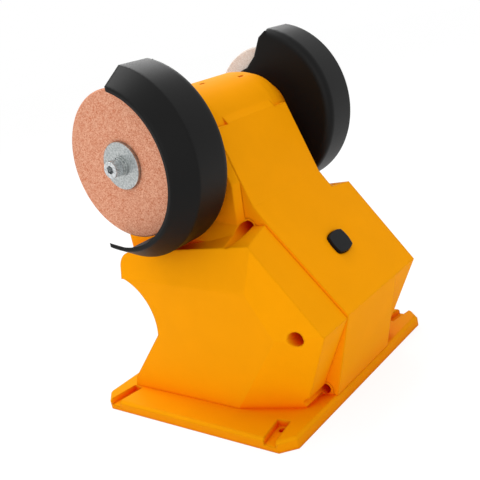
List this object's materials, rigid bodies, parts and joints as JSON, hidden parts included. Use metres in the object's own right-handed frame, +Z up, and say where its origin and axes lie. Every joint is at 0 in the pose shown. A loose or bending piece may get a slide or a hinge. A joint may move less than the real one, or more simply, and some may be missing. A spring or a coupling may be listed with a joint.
{
  "type": "mini bench grinder",
  "caption": "Cordless mini bench grinder: faceted plastic housing on a screw-down plate, double-ended motor with a bonded wheel and open guard on each side, rear push button.",
  "frame": {"origin": "centre of the underside of the base plate, on the bench", "axes": "X along the spindle toward the pink wheel, Y to the rear (button side), Z up"},
  "size_m": [0.1626, 0.1522, 0.1947],
  "materials": {
    "housing": "moulded, satin",
    "guard": "moulded, fine matt grain",
    "zinc_screw": "zinc plated",
    "motor_steel": "plated sheet",
    "end_cap": "moulded",
    "ferrite": "sintered",
    "bearing_steel": "ground",
    "brass": "stamped",
    "carbon": "pressed carbon",
    "laminations": "stacked sheet",
    "copper": "wound and turned copper",
    "black_plastic": "moulded",
    "arbor_steel": "turned",
    "black_screw": "black oxide",
    "pink_grit": "bonded grit",
    "white_grit": "bonded grit",
    "washer_zinc": "zinc plated",
    "bolt_steel": "bright",
    "button": "moulded",
    "board": "solder mask",
    "cell_wrap": "shrink sleeve",
    "nickel": "nickel strip",
    "red_lead": "insulated",
    "black_lead": "insulated"
  },
  "bodies": {
    "housing": {"main_shell": "housing", "side_cover": "housing", "base_plate": "housing", "case_screws": "zinc_screw", "plate_screws": "zinc_screw", "right_guard": "guard", "left_guard": "guard", "guard_screws": "zinc_screw", "motor_can": "motor_steel", "motor_end_cap": "end_cap", "magnets": "ferrite", "motor_bearings": "bearing_steel", "brush_holders": "brass", "brushes": "carbon", "brush_springs": "bearing_steel", "switch_body": "black_plastic", "control_board": "board", "board_screws": "zinc_screw", "battery_cells": "cell_wrap", "cell_holders": "black_plastic", "cell_straps": "nickel", "holder_screws": "zinc_screw", "charge_socket": "nickel", "battery_leads": "red_lead", "motor_leads": "black_lead"},
    "rotor": {"motor_shaft": "bearing_steel", "armature_core": "laminations", "armature_winding": "copper", "commutator": "copper", "motor_fan": "black_plastic", "right_arbor": "arbor_steel", "left_arbor": "arbor_steel", "arbor_set_screws": "black_screw", "right_wheel": "pink_grit", "left_wheel": "white_grit", "clamp_washers": "washer_zinc", "small_washers": "washer_zinc", "lock_washers": "washer_zinc", "clamp_bolts": "bolt_steel"},
    "button": {"button_cap": "button"}
  },
  "joints": [
    {"name": "spindle_spin", "type": "hinge", "parent": "housing", "child": "rotor", "pos_m": [0, -0.0025, 0.1475], "axis": [1, 0, 0], "continuous": true},
    {"name": "button_press", "type": "slide", "parent": "housing", "child": "button", "axis": [0, -0.8148, -0.5797], "range_m": [0, 0.0015], "stiffness_N_per_m": 600}
  ]
}
